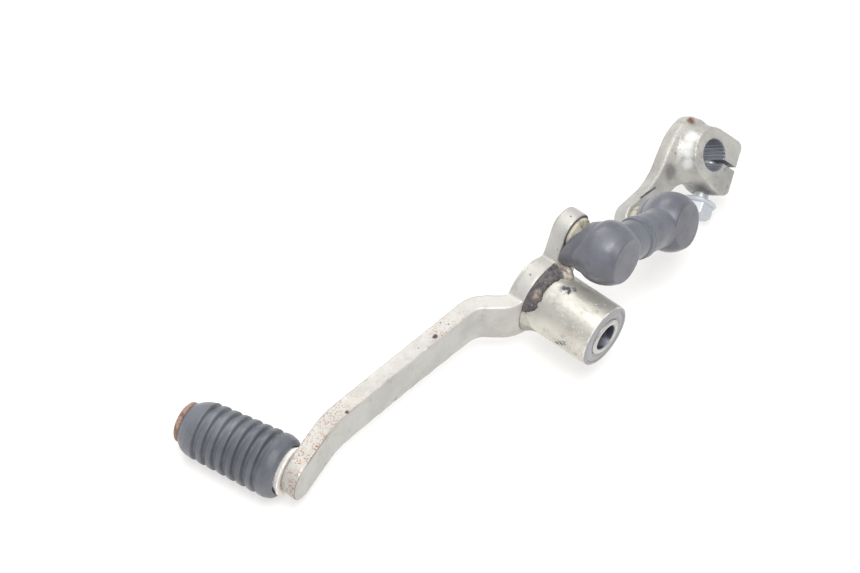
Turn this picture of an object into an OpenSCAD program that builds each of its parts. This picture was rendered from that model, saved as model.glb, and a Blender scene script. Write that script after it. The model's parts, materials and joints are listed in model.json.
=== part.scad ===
// Gear shift lever for a motorcycle: a bent steel pedal that turns on a pivot sleeve, a rubber foot
// peg, a short link with two booted ball joints, and a splined clamp arm for the gearbox shaft.
// X runs along the pivot axis towards the open end of the boss, Y runs forwards from the peg to the
// clamp arm, and Z is up. The origin is the pivot axis at the open end face of the boss.

/* [Pose on a bench] */
// Angle at which the pedal leans forwards when the lever lies on a bench
pitch = 4.71; // [0:0.01:8]

/* [Pedal bar] */
// Thickness of the flat bar
bar_t = 6; // [4:0.5:8]
// Depth of the bar at the middle of its length
bar_h = 14; // [12:0.5:16]
// Distance of the hub plate's near face behind the open end of the boss
plate_x = 25.5; // [20:0.5:32]
// Radius of the hub plate around the pivot
hub_r = 13; // [12.5:0.5:16]

/* [Pivot boss] */
// Outside radius of the boss tube
boss_r = 11; // [10:0.5:13]
// Length of the boss tube
boss_len = 33; // [28:0.5:40]
// Outside radius of the pivot sleeve
sleeve_r = 6.5; // [6:0.1:7]
// Radius of the hole for the pivot bolt
pivot_bore_r = 4.5; // [4:0.1:5]

/* [Foot peg] */
// Distance from the bar's outer face to the end of the peg
peg_len = 38; // [34:1:48]
// Radius of the rubber at its lever end
rubber_r = 10.55; // [9:0.05:12]
// Radius of the last narrow rib at the free end
rubber_tip_r = 9.7; // [8:0.05:11]
// Number of grooves around the rubber
grooves = 7; // [4:1:9]
// Turn of the peg away from the pivot axis
peg_yaw = 11.9; // [0:0.1:20]

/* [Link] */
// Distance between the two ball centres
link_len = 40.5; // [38:0.5:60]
// Angle at which the link drops away from the pedal
link_drop = 25.3; // [10:0.1:40]
// Roll of the front socket about the link
front_roll = 9; // [0:1:12]
// Roll of the rear socket about the link
rear_roll = 20; // [12:1:26]

/* [Shift arm] */
// Distance from the ball stud to the spline centre
arm_len = 37.9; // [32:0.1:45]
// Tilt of the arm's spline axis above the pivot axis
arm_tilt = 33.9; // [25:0.1:40]
// Swing of the spline axis towards the front
arm_yaw = 3.3; // [-4:0.1:10]
// Rise of the arm from the ball stud to the splines
arm_rise = 0.8; // [-10:0.1:20]
// Width of the clamp along the spline
clamp_w = 13; // [11:0.5:16]
// Radius of the splined bore over the tooth tips
spline_r = 5.5; // [5:0.1:6.5]

/* [Hidden] */

round_fn = 96;
steel = "#c9c7c0";
forged = "#bdbdb8";
bare = "#dcdcd8";
rust = "#8a5a3c";
black_rubber = "#33363c";
boot_rubber = "#43454d";
nylon = "#e8e4d6";

// Pedal, in its own frame: the pivot axis is X and the bar lies along the XY plane.
mid_x = -plate_x - bar_t / 2;
bend_peg = [-41.6, -85];
bend_jog = [-38.0, -21.2];
bend_hub = [mid_x, -12.9];
peg_root = [-38.0, -103.5];
peg_z = -0.68;
peg_end_r = 7.0;
peg_cover = 1.7;
peg_end = [-38.2, -102.9];
eye = [15.2, 18.6];
eye_r = 6.75;
arm_root = [8.3, 0];

// Ball joints
ball_r = 4.5;
seat_r = 5.7;
fit_gap = 0.06;
stud_len = 12.3;
rear_stud_len = 14.5;
neck_r = 2.9;
plug_face = 6.2;
boot_r = 10.7;
boot_face = 8.1;
rear_boot_r = 10.3;
rear_boot_face = 6.65;
boot_face_r = 7.8;
cuff_r = 6.7;
cuff_bore_r = 5.9;
front_cuff_end = link_len * 0.5;
shank_r = 5.1;
shank_end = 15.5;
rod_r = 3;
nut_af = 10;
nut_h = 4;

// Shift arm, in its own frame: the spline axis is Z, the near face is z = 0, the stud is at -X.
arm_t = 6;
arm_eye_r = 6.5;
ring_r = 9.7;
ring_foot_r = 10.9;
slot_angle = -60.6;
slot_w = 1.3;
jaw_len = 12.4;
teeth = 28;
tooth_h = 0.5;
bolt_x = 8.5;
bolt_z = -8.6;
bolt_r = 2.65;
bolt_seat = -14;
bolt_af = 10;

front_ball = [-plate_x + stud_len, eye[0], eye[1]];
stud_plate = -clamp_w + arm_t;

// ---------------------------------------------------------------- frames
module in_pedal() {
    rotate([pitch, 0, 0]) children();
}

module in_link() {
    in_pedal() translate(front_ball) rotate([-link_drop, 0, 0]) children();
}

// The axis of each socket is the local X axis.
module in_front_socket() {
    in_link() rotate([0, -front_roll, 0]) children();
}

module in_rear_socket() {
    in_link() translate([0, link_len, 0]) rotate([0, -rear_roll, 0]) mirror([0, 1, 0]) children();
}

// Frame of the rear ball: its local X axis is the axis of the ball stud and of the splines.
module in_rear_stud() {
    in_pedal() translate(front_ball + link_len * [0, cos(link_drop), -sin(link_drop)])
        rotate([0, -arm_tilt, arm_yaw]) children();
}

module in_arm() {
    in_rear_stud() rotate([90, 0, 90]) rotate([0, 0, arm_rise])
        translate([arm_len, 0, -rear_stud_len - stud_plate]) children();
}

module in_peg() {
    in_pedal() translate([peg_root[0], peg_root[1], peg_z]) rotate([0, 0, peg_yaw])
        rotate([0, -90, 0]) translate([0, 0, bar_t / 2]) children();
}

// A solid of revolution about the local X axis from a list of [distance, radius] points.
module turned_x(points) {
    rotate([0, 90, 0]) rotate_extrude($fn = round_fn) polygon([for (p = points) [p[1], p[0]]]);
}

// ---------------------------------------------------------------- pedal bar
// Left-hand edge of a bent strip: the corner of each bend, opened out into an arc.
function unit(v) = v / norm(v);
function left(v) = [-v[1], v[0]];
function bend_arc(a, b, c, r, side, w) =
    let (
        u = unit(b - a),
        v = unit(c - b),
        turn = atan2(u[0] * v[1] - u[1] * v[0], u * v),
        start = b - u * r * tan(abs(turn) / 2),
        centre = start + left(u) * r * sign(turn),
        rr = r - side * sign(turn) * w,
        first = atan2(u[1], u[0]) - 90 * sign(turn),
        steps = max(4, ceil(abs(turn) / 4))
    )
    [for (i = [0 : steps]) centre + rr * [cos(first + turn * i / steps), sin(first + turn * i / steps)]];

bar_tail = peg_root + 14 * [sin(peg_yaw), -cos(peg_yaw)];
bar_path = [bar_tail, bend_peg, bend_jog, bend_hub, [mid_x, 40]];
bend_radius = [0, 34, 9, 8, 0];

function strip_edge(side) = concat(
    [bar_path[0] + side * bar_t / 2 * left(unit(bar_path[1] - bar_path[0]))],
    [for (i = [1 : 3]) each bend_arc(bar_path[i - 1], bar_path[i], bar_path[i + 1],
        bend_radius[i], side, bar_t / 2)],
    [bar_path[4] + side * bar_t / 2 * left([0, 1])]
);

function reversed(list) = [for (i = [len(list) - 1 : -1 : 0]) list[i]];

module bar_plan() {
    polygon(concat(strip_edge(1), reversed(strip_edge(-1))));
}

// Side outline of the bar, in (Y, Z)
module bar_side() {
    half = bar_h / 2;
    translate([peg_end[1], peg_z]) circle(r = peg_end_r, $fn = round_fn);
    polygon([
        [peg_end[1], peg_z - peg_end_r], [-92, -peg_end_r - 0.1], [-80, -half - 0.1], [-52, -half],
        [-32, -half - 0.7], [-14, -half - 1.9], [0, -hub_r + 1], [0, hub_r - 3],
        [-11, half], [-52, half], [-80, half + 0.1], [-92, peg_end_r + 0.1],
        [peg_end[1], peg_z + peg_end_r]
    ]);
    circle(r = hub_r, $fn = round_fn);
    stud_arm_side();
}

// The upper arm runs from the hub up to the eye of the ball stud.
module stud_arm_side() {
    along = unit(eye - arm_root);
    out = left(along) * eye_r;
    translate(eye) circle(r = eye_r, $fn = round_fn);
    polygon([eye + out, arm_root + out, arm_root - along * 4 - out, eye - out]);
    translate(arm_root) circle(r = eye_r + 1, $fn = round_fn);
}

module pedal_bar() {
    color(steel) in_pedal() difference() {
        intersection() {
            translate([0, 0, -30]) linear_extrude(height = 70) bar_plan();
            rotate([90, 0, 90]) translate([0, 0, -60]) linear_extrude(height = 60) bar_side();
        }
        rotate([0, 90, 0]) translate([0, 0, -60]) cylinder(r = boss_r + 0.02, h = 60, $fn = round_fn);
        translate([-60, eye[0], eye[1]]) rotate([0, 90, 0])
            cylinder(r = neck_r + 0.02, h = 60, $fn = round_fn);
        translate([peg_root[0], peg_root[1], peg_z]) rotate([0, 0, peg_yaw]) rotate([0, -90, 0])
            translate([0, 0, peg_cover - bar_t / 2]) cylinder(r = 4.02, h = 20, $fn = round_fn);
    }
}

// ---------------------------------------------------------------- pivot
seal_bore_r = 9.5;
seal_depth = 3;
bush_r = 8.2;
bush_len = 9;

module pivot_boss() {
    color(steel) in_pedal() turned_x([
        [0, seal_bore_r], [0, boss_r - 0.5], [-0.5, boss_r], [-boss_len + 0.5, boss_r],
        [-boss_len, boss_r - 0.5], [-boss_len, seal_bore_r], [-boss_len + seal_depth, seal_bore_r],
        [-boss_len + seal_depth, bush_r], [-seal_depth, bush_r], [-seal_depth, seal_bore_r]
    ]);
}

module boss_weld() {
    color(rust) in_pedal() turned_x([
        [-plate_x + 0.03, boss_r + 0.03], [-plate_x + 2.6, boss_r + 0.03],
        [-plate_x + 1.7, boss_r + 0.7], [-plate_x + 0.9, boss_r + 1.2], [-plate_x + 0.03, boss_r + 1.5]
    ]);
}

module bush(x) {
    color(nylon) in_pedal() translate([x, 0, 0]) turned_x([
        [-bush_len / 2, sleeve_r + 0.05], [-bush_len / 2, bush_r - 0.02],
        [bush_len / 2, bush_r - 0.02], [bush_len / 2, sleeve_r + 0.05]
    ]);
}

module front_bush() {
    bush(-seal_depth - 0.3 - bush_len / 2);
}

module rear_bush() {
    bush(-boss_len + seal_depth + 0.3 + bush_len / 2);
}

// A dust seal with a shallow groove in its outer face; dir is the way that face looks.
module dust_seal(x, dir) {
    color(black_rubber) in_pedal() translate([x, 0, 0]) turned_x([
        [-dir * 2.7, sleeve_r + 0.06], [-dir * 2.7, seal_bore_r - 0.02], [-dir * 0.2, seal_bore_r - 0.02],
        [-dir * 0.2, 8.7], [-dir * 0.9, 8.4], [-dir * 0.9, 7.6], [-dir * 0.3, 7.3],
        [-dir * 0.3, sleeve_r + 0.06]
    ]);
}

module outer_dust_seal() {
    dust_seal(0, 1);
}

module inner_dust_seal() {
    dust_seal(-boss_len, -1);
}

module pivot_sleeve() {
    color(bare) in_pedal() turned_x([
        [0.4, pivot_bore_r + 0.4], [0.4, sleeve_r - 0.4], [0, sleeve_r], [-boss_len, sleeve_r],
        [-boss_len - 0.4, sleeve_r - 0.4], [-boss_len - 0.4, pivot_bore_r + 0.4],
        [-boss_len, pivot_bore_r], [0, pivot_bore_r]
    ]);
}

// ---------------------------------------------------------------- foot peg
// Local Z runs from the bar's outer face to the free end of the peg.
pin_r = 5;

module peg_pin() {
    color(steel) in_peg() {
        cylinder(r = pin_r, h = peg_len - 1, $fn = round_fn);
        translate([0, 0, peg_cover - bar_t + 0.03]) cylinder(r = 4, h = bar_t, $fn = round_fn);
        cylinder(r = 3.2, h = peg_len + 0.3, $fn = round_fn);
    }
}

module peg_collar() {
    color(bare) in_peg() rotate_extrude($fn = round_fn)
        polygon([[pin_r + 0.03, 0.1], [6.9, 0.1], [6.9, 1.4], [6.2, 2.6], [pin_r + 0.03, 2.6]]);
}

module peg_weld() {
    color(steel) in_peg() rotate_extrude($fn = round_fn)
        polygon([[6.95, 0.03], [7.7, 0.03], [7.5, 0.6], [6.95, 1.1]]);
}

module peg_end_washer() {
    color(rust) in_peg() translate([0, 0, peg_len]) rotate_extrude($fn = round_fn)
        polygon([[3.25, -1.0], [6.7, -1.0], [6.7, 0.3], [6.3, 0.8], [4.6, 0.9], [3.25, 0.9]]);
}

// Outside radius of the rubber over the ribs at a distance z from the bar
function rib_r(z) = rubber_r + (rubber_tip_r - rubber_r) * (z - 7) / 23;
groove_pitch = 3.7;
groove_first = 7.5;
groove_w = 1.1;
groove_d = 0.8;
rubber_start = 1.2;
rubber_end = peg_len - 1.15;

function groove_points(z) = [
    [rib_r(z), z - groove_w / 2 - 0.25], [rib_r(z) - groove_d, z - groove_w / 4],
    [rib_r(z) - groove_d, z + groove_w / 4], [rib_r(z), z + groove_w / 2 + 0.25]
];

module peg_rubber() {
    tip_z = groove_first + groove_pitch * (grooves - 1) + 2;
    tip_r = rib_r(tip_z);
    color(black_rubber) in_peg() rotate_extrude($fn = round_fn) polygon(concat(
        [[pin_r + 0.05, 3], [7.4, 3], [7.9, rubber_start], [9.2, rubber_start], [10.4, 1.8], [rubber_r, 3.4]],
        [for (i = [0 : grooves - 1]) each groove_points(groove_first + groove_pitch * i)],
        [for (i = [0 : 6]) let (t = i / 6)
            [tip_r - (tip_r - 7.0) * pow(t, 1.6), tip_z + (rubber_end - tip_z) * pow(t, 0.7)]],
        [[pin_r + 0.05, rubber_end]]
    ));
}

// ---------------------------------------------------------------- ball joints
// A ball stud along the local X axis with its ball at the origin. The plate's near face is at
// x = -reach, and the shank passes through a plate of thickness t to a riveted head.
module ball_stud(reach, t, foot, foot_r) {
    color(bare) {
        sphere(r = ball_r, $fn = 72);
        turned_x([
            [0, 0], [0, 2.4], [-ball_r - 3.3, 2.4], [-reach + foot + 1, neck_r + 0.3],
            [-reach + foot, foot_r], [-reach + 0.05, foot_r], [-reach + 0.05, neck_r], [-reach - t - 0.05, neck_r],
            [-reach - t - 0.05, 4.6], [-reach - t - 1.2, 3.8], [-reach - t - 1.5, 0]
        ]);
    }
}

module front_ball_stud() {
    in_pedal() translate(front_ball) ball_stud(stud_len, bar_t, 1.2, 5.8);
}

module rear_ball_stud() {
    in_rear_stud() ball_stud(rear_stud_len, arm_t, 3.1, 5.2);
}

// The nylon seat is a shell around the ball with its mouth towards -X.
mouth_r = 3.6;
mouth_in = -sqrt(pow(ball_r + fit_gap, 2) - pow(mouth_r, 2));
mouth_out = -sqrt(pow(seat_r, 2) - pow(mouth_r, 2));
function arc_points(r, x_from, x_to, n) = [
    for (i = [0 : n]) let (a = acos(x_from / r) + (acos(x_to / r) - acos(x_from / r)) * i / n)
        [r * cos(a), r * sin(a)]
];

module ball_seat() {
    color(nylon) turned_x(concat(
        arc_points(seat_r, mouth_out, seat_r, 36), arc_points(ball_r + fit_gap, ball_r + fit_gap, mouth_in, 30)
    ));
}

module front_ball_seat() {
    in_link() ball_seat();
}

module rear_ball_seat() {
    in_rear_stud() ball_seat();
}

// A socket with its mouth towards -X and its shank along +Y.
module socket() {
    color(forged) difference() {
        union() {
            turned_x([[-6, 0], [-6, 6.6], [-4, 8.3], [3, 8.3], [plug_face, 7.2], [plug_face, 0]]);
            rotate([-90, 0, 0]) cylinder(r = shank_r, h = shank_end, $fn = round_fn);
        }
        sphere(r = seat_r + fit_gap, $fn = 72);
        rotate([0, 90, 0]) cylinder(r = seat_r + fit_gap, h = plug_face + 1, $fn = round_fn);
        turned_x([[-7, 0], [-7, 5.3], [-4.5, 4.6], [0, 4.6], [0, 0]]);
        rotate([-90, 0, 0]) translate([0, 0, 6.9]) cylinder(r = rod_r + 0.02, h = 20, $fn = round_fn);
    }
}

module socket_plug() {
    color(forged) difference() {
        rotate([0, 90, 0]) translate([0, 0, 4.2])
            cylinder(r = seat_r + 0.04, h = plug_face - 4.2, $fn = round_fn);
        sphere(r = seat_r + fit_gap, $fn = 72);
    }
}

module front_socket() {
    in_front_socket() socket();
}

module front_socket_plug() {
    in_front_socket() socket_plug();
}

module rear_socket() {
    in_rear_socket() socket();
}

module rear_socket_plug() {
    in_rear_socket() socket_plug();
}

module lock_nut(y) {
    color(bare) in_link() translate([0, y, 0]) rotate([-90, 0, 0]) difference() {
        cylinder(r = nut_af / 2 / cos(30), h = nut_h, $fn = 6);
        translate([0, 0, -1]) cylinder(r = rod_r + 0.02, h = nut_h + 2, $fn = round_fn);
    }
}

module front_lock_nut() {
    lock_nut(shank_end + 0.05);
}

module rear_lock_nut() {
    lock_nut(link_len - shank_end - nut_h - 0.05);
}

module link_rod() {
    color(bare) in_link() rotate([-90, 0, 0]) translate([0, 0, 7.2])
        cylinder(r = rod_r, h = link_len - 14.4, $fn = round_fn);
}

// Outline of a boot's dome about the local X axis, with a flat face at +X
function dome_r(x, r, face) = r * sqrt(1 - pow(x / (x > 0 ? face / sqrt(1 - pow(boot_face_r / r, 2)) : 9.8), 2));

module boot_dome(r, face) {
    turned_x(concat(
        [[-7.2, 0]],
        [for (x = [-7.2 : 1.6 : face - 1]) [x, dome_r(x, r, face)]],
        [[face, boot_face_r], [face, 0]]
    ));
}

module boot_hollow(cuff_end) {
    turned_x([[-6.1, 0], [-6.1, 6.7], [-4.05, 8.4], [3.05, 8.4], [plug_face + 0.05, 7.3],
        [plug_face + 0.05, 0]]);
    rotate([-90, 0, 0]) cylinder(r = cuff_bore_r, h = cuff_end + 1, $fn = round_fn);
}

module boot_cuff(end, lip) {
    rotate([-90, 0, 0]) cylinder(r = cuff_r, h = end, $fn = round_fn);
    if (lip) rotate([-90, 0, 0]) translate([0, 0, end - 2.2])
        cylinder(r = cuff_r + 0.5, h = 2.2, $fn = round_fn);
}

// The neck follows the ball stud, so it leans out of the dome on the side the stud leans to.
module boot_neck(end) {
    turned_x([[-3, 0], [-3, 9.2], [-6, 8.4], [-8.4, 7.1], [-end, 6.2], [-end, 0]]);
}

module boot_mouth(reach) {
    turned_x([[-2, 0], [-2, 5.3], [-5.6, 5.3], [-7.6, 5.1], [-reach, 5.1], [-reach, 0]]);
}

module front_boot() {
    color(boot_rubber) difference() {
        union() {
            in_front_socket() boot_dome(boot_r, boot_face);
            in_front_socket() boot_cuff(front_cuff_end, true);
            in_pedal() translate(front_ball) boot_neck(stud_len - 2.3);
        }
        in_front_socket() boot_hollow(front_cuff_end);
        in_pedal() translate(front_ball) boot_mouth(stud_len);
    }
}

module rear_boot() {
    color(boot_rubber) difference() {
        union() {
            in_rear_socket() boot_dome(rear_boot_r, rear_boot_face);
            in_rear_socket() boot_cuff(link_len - front_cuff_end - 0.1, false);
            in_rear_stud() boot_neck(rear_stud_len - 4.4);
        }
        in_rear_socket() boot_hollow(link_len - front_cuff_end - 0.1);
        in_rear_stud() boot_mouth(rear_stud_len);
    }
}

// ---------------------------------------------------------------- shift arm
// A closed curve through a list of points
function curve_at(p0, p1, p2, p3, t) = 0.5 * (2 * p1 + (p2 - p0) * t
    + (2 * p0 - 5 * p1 + 4 * p2 - p3) * t * t + (3 * p1 - p0 - 3 * p2 + p3) * t * t * t);
function curve(p, steps) = [for (i = [1 : len(p) - 3]) for (k = [0 : steps - 1])
    curve_at(p[i - 1], p[i], p[i + 1], p[i + 2], k / steps)];

// The flat blade: the eye of the ball stud, a waist, and a wide head behind the splined clamp.
module blade_profile() {
    translate([-arm_len, 0]) circle(r = arm_eye_r, $fn = round_fn);
    polygon(concat(
        curve([[-42, 7.5], [-arm_len, arm_eye_r], [-28, 5.8], [-19.4, 7.1], [-12.1, 10.3], [-4.7, 13.0],
            [2.7, 13.6], [6.3, 12.4], [7, 11]], 5),
        [[6.5, 12.1], [8.2, 6.6], [0, -4], [-10.5, -4.6]],
        curve([[-9, -6], [-13, -3.1], [-18.6, -2.1], [-28, -4.6], [-arm_len, -arm_eye_r], [-44, -7]], 5),
        [[-arm_len, -arm_eye_r]]
    ));
}

module spline_profile() {
    root = spline_r + tooth_h;
    half = 360 / teeth / 4;
    circle(r = spline_r, $fn = round_fn);
    for (i = [0 : teeth - 1]) rotate(i * 360 / teeth)
        polygon([[spline_r * cos(half) - 0.4, -spline_r * sin(half)], [root, -0.12], [root, 0.12],
            [spline_r * cos(half) - 0.4, spline_r * sin(half)]]);
}

module jaw_profile() {
    rotate(slot_angle) polygon([
        [-3.2, -9.2], [1.5, -10.3], [4.8, -11.2], [8.2, -11.5], [10.6, -10.9], [jaw_len, -9.3],
        [jaw_len, 7.9], [jaw_len - 0.8, 9.2], [jaw_len - 2.2, 9.75], [-0.5, 9.75], [-3, 9.3]
    ]);
}

module shift_arm() {
    color(forged) in_arm() difference() {
        union() {
            translate([0, 0, -clamp_w]) linear_extrude(height = arm_t) blade_profile();
            translate([0, 0, -clamp_w]) cylinder(r = ring_foot_r, h = arm_t, $fn = round_fn);
            translate([0, 0, arm_t - clamp_w])
                cylinder(r1 = ring_foot_r, r2 = ring_r, h = clamp_w - arm_t, $fn = round_fn);
            translate([0, 0, -clamp_w]) linear_extrude(height = clamp_w) jaw_profile();
        }
        translate([0, 0, -clamp_w - 1]) linear_extrude(height = clamp_w + 2) spline_profile();
        rotate([0, 0, slot_angle]) translate([0, -slot_w / 2, -clamp_w - 1])
            cube([30, slot_w, clamp_w + 2]);
        translate([-arm_len, 0, -clamp_w - 1]) cylinder(r = neck_r + 0.02, h = arm_t + 2, $fn = round_fn);
        rotate([0, 0, slot_angle]) translate([bolt_x, 0, bolt_z]) rotate([90, 0, 0])
            cylinder(r = bolt_r + 0.05, h = 60, center = true, $fn = round_fn);
    }
}

// Flanged hexagon bolt across the slot, backed off a little so that the clamp is open
module pinch_bolt() {
    color(bare) in_arm() rotate([0, 0, slot_angle]) translate([bolt_x, bolt_seat, bolt_z])
        rotate([-90, 0, 0]) {
            cylinder(r = bolt_r, h = 22.5, $fn = round_fn);
            translate([0, 0, -1.4]) cylinder(r = 6.3, h = 1.4, $fn = round_fn);
            translate([0, 0, -5.6]) cylinder(r = bolt_af / 2 / cos(30), h = 4.3, $fn = 6);
        }
}

pedal_bar();
pivot_boss();
boss_weld();
front_bush();
rear_bush();
outer_dust_seal();
inner_dust_seal();
pivot_sleeve();
peg_pin();
peg_collar();
peg_end_washer();
peg_weld();
peg_rubber();
front_ball_stud();
front_ball_seat();
front_socket();
front_socket_plug();
front_lock_nut();
front_boot();
link_rod();
rear_boot();
rear_lock_nut();
rear_socket();
rear_socket_plug();
rear_ball_seat();
rear_ball_stud();
shift_arm();
pinch_bolt();
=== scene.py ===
"""Looks for a motorcycle gear shift lever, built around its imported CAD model."""

import json
import math

import bmesh
import bpy
import numpy as np
from mathutils import Matrix, Vector, noise


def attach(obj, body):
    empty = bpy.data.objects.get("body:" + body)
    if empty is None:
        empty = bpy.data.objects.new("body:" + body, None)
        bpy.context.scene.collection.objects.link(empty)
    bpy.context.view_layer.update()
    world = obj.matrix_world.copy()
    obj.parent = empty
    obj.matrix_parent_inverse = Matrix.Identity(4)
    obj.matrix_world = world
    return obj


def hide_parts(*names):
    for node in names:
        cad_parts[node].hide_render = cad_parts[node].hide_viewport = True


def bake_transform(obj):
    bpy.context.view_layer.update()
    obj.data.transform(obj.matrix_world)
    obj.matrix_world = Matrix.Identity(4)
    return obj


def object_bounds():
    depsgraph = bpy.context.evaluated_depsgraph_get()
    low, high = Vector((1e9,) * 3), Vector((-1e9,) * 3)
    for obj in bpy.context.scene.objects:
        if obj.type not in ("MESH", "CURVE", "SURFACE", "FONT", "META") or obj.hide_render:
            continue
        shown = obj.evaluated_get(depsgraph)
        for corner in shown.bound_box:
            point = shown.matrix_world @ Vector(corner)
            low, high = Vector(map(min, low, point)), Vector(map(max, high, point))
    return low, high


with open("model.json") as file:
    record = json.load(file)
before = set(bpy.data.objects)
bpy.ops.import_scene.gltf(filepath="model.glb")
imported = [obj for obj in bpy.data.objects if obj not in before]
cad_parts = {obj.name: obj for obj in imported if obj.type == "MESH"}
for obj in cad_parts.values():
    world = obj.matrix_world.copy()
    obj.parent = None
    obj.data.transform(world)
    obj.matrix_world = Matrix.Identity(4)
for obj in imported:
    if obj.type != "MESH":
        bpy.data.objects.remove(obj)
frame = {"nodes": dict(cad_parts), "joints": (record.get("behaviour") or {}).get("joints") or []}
cad_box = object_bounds()
nodes = frame["nodes"]
joints = {j["name"]: j for j in frame["joints"]}

MM = 0.001

# ------------------------------------------------------------------ dimensions, in millimetres
PITCH = math.radians(4.71)  # how far the lever is tipped about its pivot as it lies
PLATE_X = -25.5  # outer face of the hub plate and of the eye above it
PLATE_T = 6.0
BOSS_R = 11.0
BOSS_LEN = 33.0
SEAL_R = 9.5  # the seals' recess in the boss
BUSH_R = 8.2
SLEEVE_R = 6.5
PIVOT_BORE_R = 4.5
BALL_R = 4.5
FRONT_STUD = 12.3  # ball centre to the face that the stud stands on
REAR_STUD = 14.5
FRONT_ROLL = math.radians(9)  # how far the front socket is turned about the link
ARM_LEN = 37.9  # rear ball to clamp centre, seen along the stud
ARM_RISE = math.radians(0.8)
BLADE_T = 6.0
CLAMP_W = 13.0
SLOT = math.radians(-60.6)  # direction of the clamp's slot from the arm's own X
BOLT_OUT = 8.5  # the bolt's axis from the clamp's centre, along the slot
BOLT_Z = -8.6
BOLT_SEAT = 14.0
PEG_ROOT = (-38.0, -103.5, -0.68)
PEG_YAW = math.radians(11.9)
PEG_HOLE_R = 5.1
PIN_R = 5.0
RUBBER_R = 10.55
RUBBER_TIP_R = 9.7
GROOVES = 7
GROOVE_PITCH = 3.7
SLEEVE_LIP_X = 20.15  # end of the front boot's sleeve, from the front ball


# ------------------------------------------------------------------ local frames
def basis(origin, x, y, z):
    """Matrix from a local frame in millimetres to the part's frame in metres."""
    m = Matrix((x, y, z)).transposed().to_4x4()
    m.translation = origin
    return m @ Matrix.Scale(MM, 4)


def turn(angle, axis):
    return Matrix.Rotation(angle, 4, axis)


X_AXIS = Vector((1, 0, 0))
FRONT_BALL = Vector(joints["front_ball_swing"]["pos_m"])
REAR_BALL = Vector(joints["rear_ball_swing"]["pos_m"])
LINK_DIR = (REAR_BALL - FRONT_BALL).normalized()
LINK_UP = X_AXIS.cross(LINK_DIR)
REAR_AXIS = Vector(joints["rear_ball_swing"]["axis"]).normalized()

PEDAL = turn(PITCH, "X") @ Matrix.Scale(MM, 4)
FRONT_STUD_M = Matrix.Translation(FRONT_BALL) @ turn(PITCH, "X") @ Matrix.Scale(MM, 4)
FRONT_SOCKET = basis(FRONT_BALL, X_AXIS, LINK_DIR, LINK_UP) @ turn(-FRONT_ROLL, "Y")

# The arm's X runs from the rear ball to the clamp, and its Z along the stud and the clamp's bore.
pedal_z = turn(PITCH, "X").to_3x3() @ Vector((0, 0, 1))
flat_y = pedal_z.cross(REAR_AXIS).normalized()
flat_z = REAR_AXIS.cross(flat_y)
ARM_X = math.cos(ARM_RISE) * flat_y + math.sin(ARM_RISE) * flat_z
ARM_Y = REAR_AXIS.cross(ARM_X)
REAR_STUD_M = basis(REAR_BALL, REAR_AXIS, ARM_X, ARM_Y)
ARM = basis(
    REAR_BALL + (ARM_X * ARM_LEN - REAR_AXIS * (REAR_STUD + BLADE_T - CLAMP_W)) * MM,
    ARM_X, ARM_Y, REAR_AXIS,
)
TO_ARM = ARM.inverted()
CLAMP_CENTRE = ARM @ Vector((0, 0, 0))

# The bolt's X runs along its axis towards its head.
SLOT_DIR = math.cos(SLOT) * ARM_X + math.sin(SLOT) * ARM_Y
BOLT_DIR = -(math.cos(SLOT + math.pi / 2) * ARM_X + math.sin(SLOT + math.pi / 2) * ARM_Y)
BOLT = basis(
    ARM @ Vector((0, 0, BOLT_Z)) + SLOT_DIR * BOLT_OUT * MM,
    BOLT_DIR, SLOT_DIR, BOLT_DIR.cross(SLOT_DIR),
)

# The peg's X runs from the bar's outer face to the peg's free end.
PEG = (
    PEDAL @ Matrix.Translation(PEG_ROOT) @ turn(PEG_YAW, "Z") @ turn(math.pi, "Z")
    @ Matrix.Translation((PLATE_T / 2, 0, 0))
)


def at(x, y, z):
    """A point given in the pedal's own frame."""
    return tuple(PEDAL @ Vector((x, y, z)))


def on_boss(x, degrees, r=BOSS_R):
    """A point at an angle round the boss, from Y towards Z."""
    a = math.radians(degrees)
    return at(x, r * math.cos(a), r * math.sin(a))


def on_arm(x, y, z):
    """A point given in the arm's own frame."""
    return tuple(ARM @ Vector((x, y, z)))


# ------------------------------------------------------------------ geometry helpers
def smoothstep(t):
    t = min(1.0, max(0.0, t))
    return t * t * (3 - 2 * t)


def new_object(name, verts, faces, matrix=None):
    """A smooth-shaded mesh object with its normals facing out."""
    mesh = bpy.data.meshes.new(name)
    if matrix is not None:
        verts = [matrix @ Vector(v) for v in verts]
    mesh.from_pydata([tuple(v) for v in verts], [], faces)
    mesh.validate()
    bm = bmesh.new()
    bm.from_mesh(mesh)
    bmesh.ops.remove_doubles(bm, verts=bm.verts, dist=1e-7)
    bmesh.ops.recalc_face_normals(bm, faces=bm.faces)
    bm.to_mesh(mesh)
    bm.free()
    obj = bpy.data.objects.new(name, mesh)
    bpy.context.scene.collection.objects.link(obj)
    mesh.polygons.foreach_set("use_smooth", [True] * len(mesh.polygons))
    return obj


def fillet(points, radius, steps=4):
    """Rounds the inner corners of an open line of (x, y) or (x, y, own radius) points."""
    out = [points[0]]
    for i in range(1, len(points) - 1):
        a, b, c = (np.array(points[k][:2], float) for k in (i - 1, i, i + 1))
        r = points[i][2] if len(points[i]) > 2 else radius
        u, v = a - b, c - b
        lu, lv = np.linalg.norm(u), np.linalg.norm(v)
        u, v = u / lu, v / lv
        cosine = float(np.clip(u @ v, -1, 1))
        if r <= 0 or cosine < -0.999:
            out.append(tuple(b))
            continue
        half = math.acos(cosine) / 2
        cut = min(r / math.tan(half), 0.48 * lu, 0.48 * lv)
        p, q = b + u * cut, b + v * cut
        for k in range(steps + 1):
            t = k / steps
            out.append(tuple((1 - t) ** 2 * p + 2 * t * (1 - t) * b + t * t * q))
    out.append(points[-1])
    return [tuple(p[:2]) for p in out]


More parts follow.
